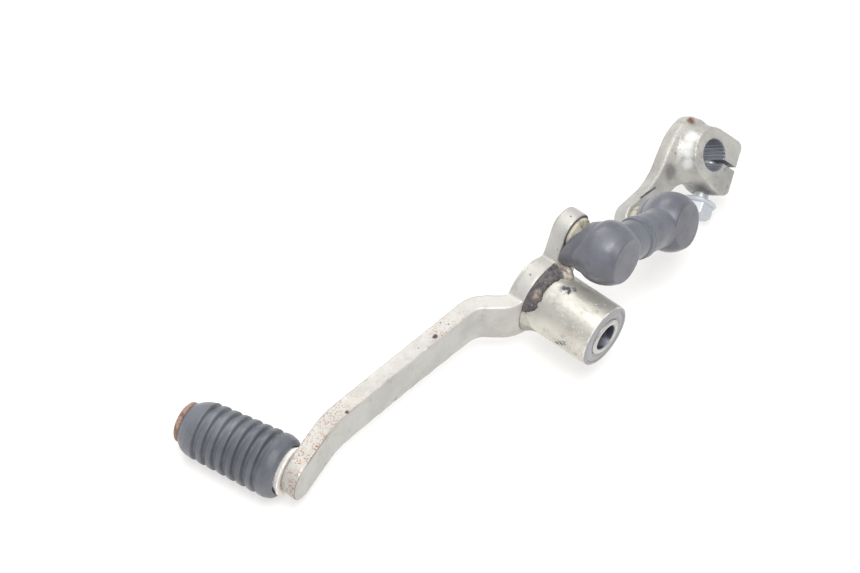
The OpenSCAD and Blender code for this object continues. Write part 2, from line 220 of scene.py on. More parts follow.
def lathe(name, profile, matrix, segments=96, closed=False, wobble=None):
    """Turns a line of (x, r) about the local X axis; wobble(x, angle) is added to the radius."""
    verts, rings = [], []
    for x, r in profile:
        if r < 1e-6:
            rings.append([len(verts)])
            verts.append((x, 0, 0))
            continue
        ring = []
        for k in range(segments):
            a = 2 * math.pi * k / segments
            rr = r + (wobble(x, a) if wobble else 0)
            ring.append(len(verts))
            verts.append((x, rr * math.cos(a), rr * math.sin(a)))
        rings.append(ring)
    faces = []
    pairs = list(zip(rings, rings[1:])) + ([(rings[-1], rings[0])] if closed else [])
    for a, b in pairs:
        if len(a) == 1 and len(b) == 1:
            continue
        for k in range(segments):
            n = (k + 1) % segments
            if len(a) == 1:
                faces.append((a[0], b[k], b[n]))
            elif len(b) == 1:
                faces.append((a[k], b[0], a[n]))
            else:
                faces.append((a[k], b[k], b[n], a[n]))
    return new_object(name, verts, faces, matrix)


def swept(name, sections, matrix, closed=False):
    """A skin through equal rings of points; an open sweep gets flat ends."""
    step, count = len(sections[0]), len(sections)
    verts = [p for section in sections for p in section]
    faces = []
    for k in range(count if closed else count - 1):
        n = (k + 1) % count
        for j in range(step):
            i = (j + 1) % step
            faces.append((k * step + j, k * step + i, n * step + i, n * step + j))
    if not closed:
        for k in (0, count - 1):
            faces.append(tuple(k * step + j for j in range(step)))
    return new_object(name, verts, faces, matrix)


def finished(obj):
    """Applies an object's modifiers."""
    bpy.context.view_layer.update()
    graph = bpy.context.evaluated_depsgraph_get()
    mesh = bpy.data.meshes.new_from_object(obj.evaluated_get(graph))
    obj.modifiers.clear()
    old = obj.data
    obj.data = mesh
    bpy.data.meshes.remove(old)
    mesh.name = obj.name
    mesh.polygons.foreach_set("use_smooth", [True] * len(mesh.polygons))
    return obj


def copy_of(name, node):
    """A new object with a copy of a CAD node's mesh, as a start for a finer piece."""
    bm = bmesh.new()
    bm.from_mesh(nodes[node].data)
    bmesh.ops.remove_doubles(bm, verts=bm.verts, dist=1e-7)
    mesh = bpy.data.meshes.new(name)
    bm.to_mesh(mesh)
    bm.free()
    obj = bpy.data.objects.new(name, mesh)
    bpy.context.scene.collection.objects.link(obj)
    return obj


def absorb(obj, other):
    """Adds another object's mesh to obj and deletes that object."""
    bm = bmesh.new()
    bm.from_mesh(obj.data)
    bm.from_mesh(other.data)
    bpy.data.objects.remove(other)
    bm.to_mesh(obj.data)
    bm.free()


def remeshed(obj, voxel, smooth):
    """One soft-edged skin around everything in the object; voxel is in millimetres."""
    skin = obj.modifiers.new("skin", "REMESH")
    skin.mode = "VOXEL"
    skin.voxel_size = voxel * MM
    skin.adaptivity = 0
    soften = obj.modifiers.new("soften", "SMOOTH")
    soften.factor = 0.5
    soften.iterations = smooth
    return finished(obj)


def crisp(obj, degrees):
    """Keeps the edges sharper than an angle from being shaded smooth."""
    split = obj.modifiers.new("crisp", "EDGE_SPLIT")
    split.split_angle = math.radians(degrees)
    return finished(obj)


def moved(obj, change):
    """Moves each vertex by change(position), both in metres."""
    for v in obj.data.vertices:
        v.co = v.co + change(v.co.copy())
    obj.data.update()


# ------------------------------------------------------------------ materials
def rgb(r, g, b):
    """A colour from 0-255 screen values."""
    def linear(c):
        c /= 255
        return c / 12.92 if c <= 0.04045 else ((c + 0.055) / 1.055) ** 2.4
    return (linear(r), linear(g), linear(b), 1.0)


SILVER = rgb(206, 204, 197)
SILVER_DULL = rgb(184, 182, 175)
# A near-white for painted highlights.
PAINTED_HIGHLIGHT = rgb(240, 242, 242)
# A dark grey for scratches, stains and painted shade.
DARK_MARK_AND_SHADE = rgb(96, 96, 100)
CHIP = rgb(70, 72, 76)
RUST_DARK = rgb(74, 52, 40)
RUST_MID = rgb(134, 92, 70)
RUST_PALE = rgb(192, 166, 146)
RUST_EDGE = rgb(132, 106, 98)
GRIME = rgb(84, 84, 84)
PAINT_ROUGH = (0.42, 0.56)


class Nodes:
    """A material and short names for the shader nodes that build it. Places and lengths are in metres."""

    def __init__(self, name):
        self.mat = bpy.data.materials.new(name)
        self.mat.use_nodes = True
        self.tree = self.mat.node_tree
        self.shader = self.tree.nodes["Principled BSDF"]
        self.coord = self.add("ShaderNodeTexCoord")
        self.place = self.coord.outputs["Object"]

    def add(self, kind, **values):
        node = self.tree.nodes.new(kind)
        for k, v in values.items():
            setattr(node, k, v)
        return node

    def link(self, value, socket):
        """Feeds a socket from another node's output or from a constant."""
        if isinstance(value, bpy.types.NodeSocket):
            self.tree.links.new(value, socket)
        else:
            socket.default_value = value

    def noise(self, scale, detail=4, rough=0.55):
        n = self.add("ShaderNodeTexNoise")
        self.link(self.place, n.inputs["Vector"])
        n.inputs["Scale"].default_value = scale
        n.inputs["Detail"].default_value = detail
        n.inputs["Roughness"].default_value = rough
        return n.outputs["Fac"]

    def cells(self, scale):
        """Distance from the nearest of many scattered points."""
        n = self.add("ShaderNodeTexVoronoi")
        self.link(self.place, n.inputs["Vector"])
        n.inputs["Scale"].default_value = scale
        return n.outputs["Distance"]

    def math(self, op, a, b=0.0):
        n = self.add("ShaderNodeMath", operation=op)
        self.link(a, n.inputs[0])
        self.link(b, n.inputs[1])
        return n.outputs[0]

    def times(self, first, *others):
        for other in others:
            first = self.math("MULTIPLY", first, other)
        return first

    def most(self, first, *others):
        for other in others:
            first = self.math("MAXIMUM", first, other)
        return first

    def vector(self, op, a, b=None):
        n = self.add("ShaderNodeVectorMath", operation=op)
        self.link(a, n.inputs[0])
        if b is not None:
            self.link(b, n.inputs[1])
        return n.outputs["Value" if op in ("DISTANCE", "DOT_PRODUCT", "LENGTH") else "Vector"]

    def band(self, value, low, high, to_low=0.0, to_high=1.0):
        """Goes smoothly from to_low at low to to_high at high."""
        n = self.add("ShaderNodeMapRange", interpolation_type="SMOOTHSTEP")
        self.link(value, n.inputs["Value"])
        ends = (("From Min", low), ("From Max", high), ("To Min", to_low), ("To Max", to_high))
        for k, v in ends:
            n.inputs[k].default_value = v
        return n.outputs["Result"]

    def fall(self, value, low, high):
        """1 up to low, fading to 0 at high."""
        return self.band(value, low, high, 1.0, 0.0)

    def blend(self, kind, factor, a, b):
        n = self.add("ShaderNodeMix", data_type=kind)
        self.link(factor, n.inputs["Factor"])
        self.link(a, n.inputs["A"])
        self.link(b, n.inputs["B"])
        return n.outputs["Result"]

    def mix(self, factor, a, b):
        """A colour between a and b."""
        return self.blend("RGBA", factor, a, b)

    def mixed(self, factor, a, b):
        """A number between a and b."""
        return self.blend("FLOAT", factor, a, b)

    def part(self, output, axis):
        """One axis of a texture coordinate output, such as Object or Normal."""
        s = self.add("ShaderNodeSeparateXYZ")
        self.link(self.coord.outputs[output], s.inputs[0])
        return s.outputs[axis]

    def off_axis(self, point, axis):
        """Distance from the line through point along axis."""
        return self.vector("LENGTH", self.vector(
            "CROSS_PRODUCT", self.vector("SUBTRACT", self.place, tuple(point)), tuple(axis)))

    def along(self, point, axis):
        """Distance from point, measured along axis."""
        return self.vector("DOT_PRODUCT", self.vector("SUBTRACT", self.place, tuple(point)), tuple(axis))

    def ragged(self, distance, scale, amount):
        """A distance made uneven by noise."""
        wave = self.math("SUBTRACT", self.noise(scale, 3), 0.5)
        return self.math("ADD", distance, self.times(wave, amount))

    def near(self, point, inner, outer, rough=0.0, scale=500):
        """1 within inner of a point, fading to 0 at outer, with an edge as uneven as rough."""
        dist = self.vector("DISTANCE", self.place, point)
        if rough:
            dist = self.ragged(dist, scale, rough)
        return self.fall(dist, inner, outer)

    def near_any(self, spots, scale):
        """near() for several spots of (point, inner, outer, rough), the last three in millimetres."""
        return self.most(*[self.near(p, a * MM, b * MM, r * MM, scale) for p, a, b, r in spots])

    def scratch(self, start, end, width):
        """1 on a straight mark between two points."""
        start, end = Vector(start), Vector(end)
        length = (end - start).length
        way = (end - start).normalized()
        off = self.ragged(self.off_axis(start, way), 500, width)
        far = self.along(start, way)
        ends = self.times(self.band(far, 0.0, 0.1 * length), self.fall(far, 0.85 * length, length))
        return self.times(self.fall(off, 0.5 * width, width), ends)

    def bump(self, height, strength, distance):
        n = self.add("ShaderNodeBump")
        self.link(height, n.inputs["Height"])
        n.inputs["Strength"].default_value = strength
        n.inputs["Distance"].default_value = distance
        return n.outputs["Normal"]

    def done(self, color, roughness, metallic=0.0, normal=None, **constants):
        self.link(color, self.shader.inputs["Base Color"])
        self.link(roughness, self.shader.inputs["Roughness"])
        self.link(metallic, self.shader.inputs["Metallic"])
        if normal is not None:
            self.link(normal, self.shader.inputs["Normal"])
        for k, v in constants.items():
            self.shader.inputs[k.replace("_", " ")].default_value = v
        return self.mat


def paint(name, speckles=0.0, grime=0.35, base=SILVER, dull=SILVER_DULL, shine=0.4, gloss=0.0,
          bar_wear=False, spots=(), rust_spots=(), bright=None, marks_and_shade=None, dirt_and_shade=None,
          dirt_and_shade_tone=rgb(158, 156, 158)):
    """Old silver paint: a cloudy tone, specks of rust, and chips down to dark metal.

    bright, marks and dirty are functions that draw masks: painted highlights; scratches, stains and painted
    shade; and grime and painted shade. With bar_wear the rust keeps to the narrow sides of the bar and is
    thickest by the peg.
    """
    n = Nodes(name)
    fine = n.noise(900, 4, 0.6)
    color = n.mix(n.band(n.noise(90, 5, 0.6), 0.35, 0.7), base, dull)
    dirt = n.times(n.band(n.noise(260, 6, 0.7), 0.56, 0.74), grime)
    color = n.mix(dirt, color, GRIME)
    rough = n.mixed(n.band(fine, 0.3, 0.7), PAINT_ROUGH[0] - gloss, PAINT_ROUGH[1] - gloss)
    metal = n.mixed(dirt, shine, shine * 0.4)
    height = n.times(fine, 0.3)

    if speckles:
        where = n.band(n.noise(34, 2), 0.42, 0.60)
        if bar_wear:
            peg_end = n.band(n.part("Object", "Y"), -0.100, -0.056, 1.0, 0.12)
            by_bend = n.times(n.near(at(-34, -34, 7), 7 * MM, 12 * MM), 0.8)
            where = n.times(n.math("ADD", n.times(where, 0.5), 0.5), n.most(peg_end, by_bend))
            side = n.math("ABSOLUTE", n.part("Normal", "X"))
            narrow = n.fall(side, 0.35, 0.75)
            where = n.times(where, narrow)
        stain = n.times(n.band(n.noise(520, 6, 0.75), 0.46, 0.64), where)
        color = n.mix(n.times(stain, 0.75 * speckles), color, RUST_PALE)
        dots = n.times(n.fall(n.cells(1500), 0.26, 0.48), n.band(n.noise(330, 3), 0.36, 0.50), where)
        color = n.mix(n.times(dots, 0.8 * speckles), color, RUST_MID)
        pins = n.times(n.fall(n.cells(430), 0.10, 0.16), n.band(n.noise(150, 2), 0.5, 0.56))
        if bar_wear:
            corner = n.times(n.band(side, 0.45, 0.65), n.fall(side, 0.86, 0.95), peg_end)
            corner = n.times(corner, n.band(n.noise(150, 4), 0.36, 0.52))
            color = n.mix(n.times(corner, 0.7), color, RUST_EDGE)
            pins = n.times(pins, narrow)
        color = n.mix(n.times(pins, 0.8 * speckles), color, RUST_DARK)
        worn = n.most(dots, pins)
        metal = n.mixed(worn, metal, 0.0)
        rough = n.mixed(worn, rough, 0.85)
        height = n.math("SUBTRACT", height, worn)
    # Painted highlights: near-white where the bright mask is.
    if bright:
        mask = bright(n)
        color = n.mix(mask, color, PAINTED_HIGHLIGHT)
        metal = n.mixed(mask, metal, 0.1)
    # Scratches and stains, and painted shade, in a dark grey.
    if marks_and_shade:
        color = n.mix(marks_and_shade(n), color, DARK_MARK_AND_SHADE)
    # Grime, and painted shade, in the given tone.
    if dirt_and_shade:
        mask = dirt_and_shade(n)
        color = n.mix(mask, color, dirt_and_shade_tone)
        metal = n.mixed(mask, metal, 0.2)
    if rust_spots:
        mask = n.near_any(rust_spots, 450)
        color = n.mix(mask, color, n.mix(n.band(n.noise(700, 4), 0.4, 0.6), RUST_DARK, RUST_MID))
        metal = n.mixed(mask, metal, 0.0)
        rough = n.mixed(mask, rough, 0.85)
    if spots:
        mask = n.near_any(spots, 780)
        color = n.mix(mask, color, CHIP)
        metal = n.mixed(mask, metal, 0.35)
        rough = n.mixed(mask, rough, 0.6)
        height = n.math("SUBTRACT", height, n.times(mask, 0.8))
    return n.done(color, rough, metal, n.bump(height, 0.5, 0.00012))


def rubber(name, tone=(106, 109, 117), dark=(84, 87, 94), rough=0.42):
    """Dull rubber with dust in its grain and scuffs."""
    n = Nodes(name)
    color = n.mix(n.band(n.noise(60, 4, 0.6), 0.35, 0.65), rgb(*dark), rgb(*tone))
    dust = n.times(n.band(n.noise(700, 6, 0.75), 0.58, 0.76), 0.35)
    color = n.mix(dust, color, rgb(140, 140, 140))
    scuff = n.noise(160, 5, 0.7)
    roughness = n.mixed(n.band(scuff, 0.35, 0.65), rough - 0.08, rough + 0.12)
    grain = n.noise(2600, 3, 0.6)
    normal = n.bump(n.math("ADD", n.times(grain, 0.4), scuff), 0.35, 0.00008)
    return n.done(color, roughness, 0.0, normal,
                  Specular_IOR_Level=0.5, Sheen_Weight=0.12, Sheen_Roughness=0.4)


def bare_metal(name, tone, stain=0.3, rough=0.3, warm=(176, 160, 134), metal=0.85):
    """Bare or plated steel with faint warm stains."""
    n = Nodes(name)
    stains = n.times(n.band(n.noise(200, 5, 0.65), 0.42, 0.7), stain)
    fine = n.noise(1500, 3, 0.6)
    return n.done(n.mix(stains, rgb(*tone), rgb(*warm)), n.mixed(fine, rough - 0.08, rough + 0.16), metal,
                  n.bump(fine, 0.25, 0.00006))


def oxide(name, light, mid, dark, lean=0.0):
    """A crust of corrosion; a lower lean shows less of the dark tone."""
    n = Nodes(name)
    coarse = n.noise(330, 6, 0.7)
    fine = n.noise(1300, 4, 0.7)
    color = n.mix(n.band(coarse, 0.36 + lean, 0.55 + lean), rgb(*dark), rgb(*mid))
    color = n.mix(n.band(fine, 0.55, 0.7), color, rgb(*light))
    height = n.math("ADD", coarse, n.times(fine, 0.5))
    return n.done(color, n.mixed(fine, 0.7, 0.95), 0.0, n.bump(height, 0.9, 0.0004))


def plastic(name, tone=(222, 217, 200)):
    """Aged nylon."""
    n = Nodes(name)
    cloud = n.noise(240, 3)
    color = n.mix(n.band(cloud, 0.3, 0.7), rgb(*tone), rgb(*[c - 16 for c in tone]))
    return n.done(color, n.mixed(cloud, 0.38, 0.52), 0.0, n.bump(n.noise(1800, 2), 0.2, 0.00004))


def coat(obj, material):
    obj.data.materials.clear()
    obj.data.materials.append(material)


def dress(obj, material, body, replaces=()):
    """Gives a piece its material, the body it rides on and the CAD nodes it stands for."""
    coat(obj, material)
    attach(obj, body)
    if replaces:
        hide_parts(*replaces)


# ------------------------------------------------------------------ pedal bar
def eye_gap_shade(n):
    """Painted shade: a dark ring round the ball stud's collar on the bar's eye, where the eye's bevel lies in
    shadow.
    """
    off = n.off_axis(FRONT_BALL, X_AXIS)
    return n.times(n.band(off, 0.0055, 0.0058), n.fall(off, 0.0062, 0.0068))


bar = copy_of("bar_forging", "pedal_bar")
remeshed(bar, 0.4, 14)
bar_chips = [
    (at(-34, -70, 7), 0.4, 1.0, 1.0),
    (at(-39, -80, 7), 0.3, 0.9, 1.0),
    (at(-38, -40, 7), 0.5, 1.2, 1.2),
]
# The bar's paint darkens a ring on the eye round the front stud's collar as painted shade.
bar_paint = paint(
    "bar_paint", speckles=1.0, bar_wear=True, base=rgb(196, 195, 190), dull=rgb(184, 182, 178), shine=0.38,
    spots=bar_chips, dirt_and_shade=eye_gap_shade, dirt_and_shade_tone=rgb(92, 90, 92),
)
dress(bar, bar_paint, "pedal", ["pedal_bar"])

# ------------------------------------------------------------------ pivot boss
PIVOT_LINE = ((0, 0, 0), X_AXIS)


def tube_rim_highlight(n):
    """Painted highlight: a broken bright line round the tube's corner at its open end."""
    end = n.band(n.part("Object", "X"), -0.0008, -0.0005)
    rim = n.times(end, n.band(n.off_axis(*PIVOT_LINE), 0.0103, 0.0106))
    return n.times(rim, n.band(n.noise(160, 3), 0.42, 0.5))


def tube_end(n):
    """The worn end face of the tube."""
    return n.band(n.part("Object", "X"), -0.0006, -0.0002)


boss_line = fillet(
    [(-6, SEAL_R), (0, SEAL_R), (0, 10.35), (-0.55, BOSS_R), (-32.4, BOSS_R), (-BOSS_LEN, 10.4),
     (-BOSS_LEN, SEAL_R), (-30, SEAL_R)], 0.18)
boss = lathe("boss_tube", boss_line + [(-30, BUSH_R), (-6, BUSH_R)], PEDAL, 144, closed=True)
boss_chips = [
    (on_boss(-17.8, 92), 0.0, 1.9, 4.4),
    (on_boss(-16.6, 86), 0.0, 1.9, 4.6),
    (on_boss(-15.2, 80), 0.0, 1.7, 4.2),
    (on_boss(-15.4, 94), 0.0, 1.4, 3.8),
    (on_boss(-11, 190), 0.0, 1.5, 3.8),
    (on_boss(-9.5, 184), 0.0, 1.5, 3.8),
    (on_boss(-8.5, 176), 0.0, 1.2, 3.4),
]
# The boss paint has a painted highlight on the tube's rim.
boss_paint = paint(
    "boss_paint", speckles=0.3, grime=0.5, base=rgb(214, 212, 203), dull=rgb(196, 194, 186), shine=0.72,
    gloss=0.09, spots=boss_chips, bright=tube_rim_highlight, dirt_and_shade=tube_end,
)
dress(boss, boss_paint, "pedal", ["pivot_boss"])


def seal(name, x0, way, node):
    """A grooved ring seal whose face is at x0; its depth runs against way."""
    section = [(2.7, 6.6), (2.7, 9.45), (0.2, 9.45), (0.12, 9.1), (0.3, 8.85), (0.32, 8.5), (0.15, 8.25),
               (0.15, 7.7), (0.4, 7.4), (0.45, 6.95), (0.3, 6.65)]
    line = fillet([(x0 - way * depth, r) for depth, r in section], 0.12, 3)
    ring = lathe(name, line, PEDAL, 120, closed=True)
    grey = rubber(name + "_rubber", (172, 171, 174), (158, 157, 161), 0.5)
    dress(ring, grey, "pedal", [node])


seal("outer_seal", 0.0, 1, "outer_dust_seal")
seal("inner_seal", -BOSS_LEN, -1, "inner_dust_seal")


def sleeve_zinc():
    """Plated steel, painted darker and bluer down the bore as shade."""
    n = Nodes("sleeve_zinc")
    ring = n.mix(n.band(n.noise(200, 5, 0.65), 0.42, 0.7), rgb(200, 199, 196), rgb(182, 176, 166))
    # Painted shade down the bore.
    bore = n.mix(n.band(n.noise(240, 4), 0.42, 0.6), rgb(104, 108, 120), rgb(168, 168, 184))
    inside = n.fall(n.off_axis(*PIVOT_LINE), 0.0046, 0.0048)
    return n.done(n.mix(inside, ring, bore), n.mixed(n.noise(1500, 3, 0.6), 0.3, 0.5), 0.7)


# Each end stands 0.4 mm proud, with a chamfer inside and outside.
near_end = [(0, PIVOT_BORE_R, 0.1), (0.4, 5.0, 0.25), (0.4, 6.1, 0.25), (0, SLEEVE_R, 0.1)]
far_end = [(-BOSS_LEN - x, r, rounding) for x, r, rounding in reversed(near_end)]
sleeve_line = fillet([(-16, PIVOT_BORE_R)] + near_end + far_end + [(-17, PIVOT_BORE_R)], 0.2)
sleeve = lathe("sleeve", sleeve_line, PEDAL, 120, closed=True)
dress(sleeve, sleeve_zinc(), "pivot", ["pivot_sleeve"])
for bush in ("front_bush", "rear_bush"):
    coat(nodes[bush], plastic(bush + "_plastic"))


def arc_gap(degrees, centre):
    """Signed difference of two angles in degrees."""
    return (degrees - centre + 180) % 360 - 180


def weld_bead():
    """A bead round the foot of the boss: a thick run over the top, a lump ahead of it, a smooth foot below."""
    segments, rows = 300, 12
    root_x, root_r = PLATE_X - 0.25, 10.7
    sections = []
    for k in range(segments):
        a = 2 * math.pi * k / segments
        degrees = math.degrees(a)
        run = 1 / (1 + math.exp((abs(arc_gap(degrees, 119)) - 38) / 3.0))
        lump = math.exp(-(arc_gap(degrees, 62) / 17) ** 2)
        foot = math.exp(-(arc_gap(degrees, 222) / 34) ** 2)
        size = 1.0 + 0.9 * run + 2.3 * lump + 1.6 * foot
        length = 1.6 + 2.4 * run + 6.0 * lump + 5.0 * foot
        length += run * 0.9 * noise.noise(Vector((a * 5, 0.3, 0)))
        length += run * 0.5 * noise.noise(Vector((a * 14, 4.0, 0)))
        folds = lump * 0.45 * math.sin(math.radians(degrees) * 26)
        section = []
        for j in range(rows):
            t = j / (rows - 1)
            hollow = (1 - t) ** 2.2 * size
            full = size * math.sqrt(max(0.0, 1 - t ** 2.4))
            bulge = hollow + (full - hollow) * max(run, lump) + folds * math.sin(math.pi * t)
            r = BOSS_R - 0.12 + bulge
            p = Vector((root_x + (length + 0.25) * t, r * math.cos(a), r * math.sin(a)))
            wave = noise.noise(p * 0.5) * 0.5 + noise.noise(p * 1.5) * 0.3
            wave *= 0.35 + 0.65 * run
            if j not in (0, rows - 1):
                p += Vector((0.3 * wave, wave * math.cos(a), wave * math.sin(a)))
            section.append(p)
        section.append(Vector((root_x, root_r * math.cos(a), root_r * math.sin(a))))
        sections.append(section)
    return swept("weld_bead", sections, PEDAL, closed=True)


def weld_metal():
    """Dark rust on the thick run, clean silver elsewhere, and a dull lump."""
    n = Nodes("weld_metal")
    rusty = n.near_any([(on_boss(-24, deg, 12), 3.4, 4.4, 2.6) for deg in (86, 98, 111, 124, 137, 150)], 500)
    dark = n.mix(n.band(n.noise(420, 6, 0.7), 0.38, 0.60), rgb(72, 71, 77), rgb(104, 98, 96))
    dark = n.mix(n.band(n.noise(900, 3), 0.64, 0.72), dark, rgb(150, 144, 140))
    patch = n.near_any([(on_boss(-23, deg, 12.8), 0.1, 1.5, 2.6) for deg in (122, 129)], 700)
    dark = n.mix(patch, dark, rgb(158, 142, 128))
    clean = n.mix(n.band(n.noise(160, 5), 0.4, 0.66), rgb(196, 192, 182), rgb(158, 152, 144))
    lump = n.mix(n.band(n.noise(300, 5, 0.7), 0.42, 0.62), rgb(188, 180, 168), rgb(140, 130, 122))
    clean = n.mix(n.near(on_boss(-21.5, 62, 13), 2.5 * MM, 6.0 * MM, 2.0 * MM), clean, lump)
    return n.done(n.mix(rusty, clean, dark), n.mixed(rusty, 0.5, 0.75), n.mixed(rusty, 0.35, 0.05),
                  n.bump(n.noise(700, 5, 0.7), 0.7, 0.0003))


dress(weld_bead(), weld_metal(), "pedal", ["boss_weld"])


# ------------------------------------------------------------------ foot peg
def rib_r(x):
    """Radius over the ribs, which taper towards the free end."""
    return RUBBER_R + (RUBBER_TIP_R - RUBBER_R) * (x - 7) / 23


grip_line = [(3.2, PEG_HOLE_R, 0), (3.2, 7.0, 0.4), (2.3, 7.7, 0.3), (1.3, 8.1, 0.3), (1.25, 8.8, 0.5),
             (2.1, 9.9, 1.2), (4.3, RUBBER_R, 1.2)]
for i in range(GROOVES):
    x = 7.3 + GROOVE_PITCH * i
    top, bottom = rib_r(x) + 0.02, rib_r(x) - 1.35
    grip_line += [(x - 1.15, top, 0.4), (x - 0.65, bottom, 0.2), (x + 0.5, bottom, 0.2), (x + 0.95, top, 0.4)]
grip_line += [(31.2, 9.55, 1.0), (33.4, 9.15, 2.5), (35.2, 8.35, 2.5), (36.5, 7.35, 0.8), (36.85, 6.9, 0.3),
              (36.85, PEG_HOLE_R, 0)]


def grip_wobble(x, a):
    """Slight waviness, and a free end worn down on top and sagging below."""
    end = smoothstep((x - 30.0) / 5.0)
    sag = -0.62 * math.sin(a) * end * (1 if x < 36.7 else 0.6)
    return sag - 0.04 + 0.06 * noise.noise(Vector((x * 0.25, math.cos(a) * 1.5, math.sin(a) * 1.5)))


grip = lathe("grip_rubber", fillet(grip_line, 0.3), PEG, 160, closed=True, wobble=grip_wobble)
dress(grip, rubber("grip_black"), "pedal", ["peg_rubber"])


def rust_wobble(x, a):
    return 0.16 * noise.noise(Vector((x * 0.7, math.cos(a) * 4, math.sin(a) * 4)))


washer_line = fillet(
    [(37.0, 3.3, 0), (37.0, 6.5, 0.3), (37.5, 6.8, 0.3), (38.3, 6.7, 0.3), (38.8, 6.1, 0.4), (38.9, 4.6, 0.2),
     (38.7, 3.3, 0)], 0.25)
washer = lathe("end_ring", washer_line, PEG, 120, closed=True, wobble=rust_wobble)
washer_rust = oxide("end_rust", (200, 158, 130), (156, 128, 114), (108, 88, 84), -0.03)
dress(washer, washer_rust, "pedal", ["peg_end_washer"])


def collar_wobble(x, a):
    """Lumps of weld and paint, but not on the two buried rims."""
    if x <= -0.29 or x >= 2.84:
        return 0.0
    lumps = 0.38 * noise.noise(Vector((x * 0.5, math.cos(a) * 3, math.sin(a) * 3)))
    return lumps + 0.16 * noise.noise(Vector((x * 1.3, math.cos(a) * 8, math.sin(a) * 8)))


collar_line = fillet(
    [(-0.3, PEG_HOLE_R, 0), (-0.3, 8.3, 0.1), (0.1, 8.1, 0.3), (0.5, 7.75, 0.4), (1.2, 7.4, 0.3),
     (2.3, 7.1, 0.5), (2.85, 6.5, 0.4), (2.85, PEG_HOLE_R, 0)], 0.3)
collar = lathe("peg_foot", collar_line, PEG, 120, closed=True, wobble=collar_wobble)
collar_paint = paint(
    "collar_paint", speckles=0.3, grime=0.1, base=rgb(252, 251, 247), dull=rgb(240, 237, 230), shine=0.1)
dress(collar, collar_paint, "pedal", ["peg_collar", "peg_weld"])
pin_line = fillet(
    [(-4.2, 0), (-4.2, 4.0, 0.2), (0, 4.0, 0), (0, PIN_R, 0), (37, PIN_R, 0), (37, 3.2, 0), (38.3, 3.2, 0.2),
     (38.45, 0)], 0.2)
dress(lathe("peg_core", pin_line, PEG, 96), bar_paint, "pedal", ["peg_pin"])


# ------------------------------------------------------------------ ball studs
def stud(name, reach, foot, foot_r, matrix, body, node):
    """A ball on a neck, with a foot on the plate's near face and a riveted head behind the plate."""
    face, back = -reach, -reach - PLATE_T
    shoulder = face + foot
    line = []
    for t in range(13):
        a = t * math.pi / 20
        line.append((BALL_R * math.cos(a), BALL_R * math.sin(a)))
    line += [
        (-4.0, 2.4), (-7.8, 2.4), (shoulder + 1, 3.1), (shoulder + 0.15, foot_r - 0.5),
        (shoulder - 0.2, foot_r - 0.05), (face + 0.15, foot_r), (face + 0.02, foot_r - 0.2),
        (face + 0.02, 2.9), (back, 2.9), (back, 4.6), (back - 0.5, 4.45), (back - 1.2, 3.4), (back - 1.5, 0),
    ]
    crust = oxide(name + "_oxide", (216, 213, 198), (192, 186, 168), (128, 121, 108), -0.02)
    dress(lathe(name, line, matrix, 96), crust, body, [node])


stud("front_stud", FRONT_STUD, 1.2, 5.8, FRONT_STUD_M, "pedal", "front_ball_stud")
stud("rear_stud", REAR_STUD, 3.1, 5.2, REAR_STUD_M, "shift_arm", "rear_ball_stud")


# ------------------------------------------------------------------ boots
LIP_X = -6.2  # the neck's open end lies beyond this, along the stud
WALL_MID_R = 5.85  # between the neck's inner and outer skins


def leaning_neck(obj, matrix, reach, shift, back, spread, drop):
    """Pulls a boot's neck to one side of its stud.

    shift is (y, z) at the lip in the stud's frame. back draws the other side towards the ball, drop pushes this
    side down to the plate, and spread widens it.
    """
    inverse = matrix.inverted()
    way = Vector((0, shift[0], shift[1]))
    far = way.length
    way.normalize()
    start, end = -2.5, -reach + 2.0

    def change(point):
        p = inverse @ point
        t = smoothstep((p.x - start) / (end - start)) * (1 - smoothstep((p.y - 5.0) / 3.5))
        if t <= 0:
            return Vector((0, 0, 0))
        rho = math.hypot(p.y, p.z)
        inner = rho < WALL_MID_R and p.x < LIP_X
        side = p.dot(way) / max(rho, 1e-6)
        q = p + way * far * t * (max(0.0, side) if inner else 0.5 + 0.5 * side)
        radial = Vector((0, p.y, p.z)) / max(rho, 1e-6)
        if rho > 6.4:
            crease = math.exp(-((p.x - LIP_X) / 0.75) ** 2)
            q -= radial * 0.36 * crease
        q += radial * spread * t * max(0.0, side)
        q.x += t * (back * smoothstep(0.5 - 0.7 * side) - drop * smoothstep(0.35 + 0.7 * side))
        least = 3.75 if inner else 4.8
        rho = math.hypot(q.y, q.z)
        if rho < least and p.x < LIP_X:
            q.y *= least / rho
            q.z *= least / rho
        return matrix @ q - point

    moved(obj, change)


def boot(name, node):
    return remeshed(copy_of(name, node), 0.3, 4)


front_boot = boot("front_boot_skin", "front_boot")
leaning_neck(front_boot, FRONT_STUD_M, FRONT_STUD, (-3.0, -2.7), 1.1, 0.4, 2.0)
rear_boot = boot("rear_boot_skin", "rear_boot")
leaning_neck(rear_boot, REAR_STUD_M, REAR_STUD - 2.4, (0.5, 0.8), 0.4, 0.0, 0.0)

# The double lip that ends the front boot's sleeve, along the link.
lip_line = fillet(
    [(SLEEVE_LIP_X + x, r, rounding) for x, r, rounding in (
        (-3.6, 6.25, 0), (-3.3, 6.95, 0.3), (-2.6, 7.25, 0.3), (-1.8, 7.2, 0.3), (-1.45, 6.8, 0.15),
        (-1.1, 7.3, 0.3), (-0.4, 7.3, 0.35), (0, 6.8, 0.3), (0, 6.25, 0))], 0.2)
lip = lathe("sleeve_lip", lip_line, FRONT_SOCKET @ turn(math.pi / 2, "Z"), 120, closed=True)
dress(lip, rubber("lip_black", (100, 106, 116), (78, 82, 90), 0.34), "link")

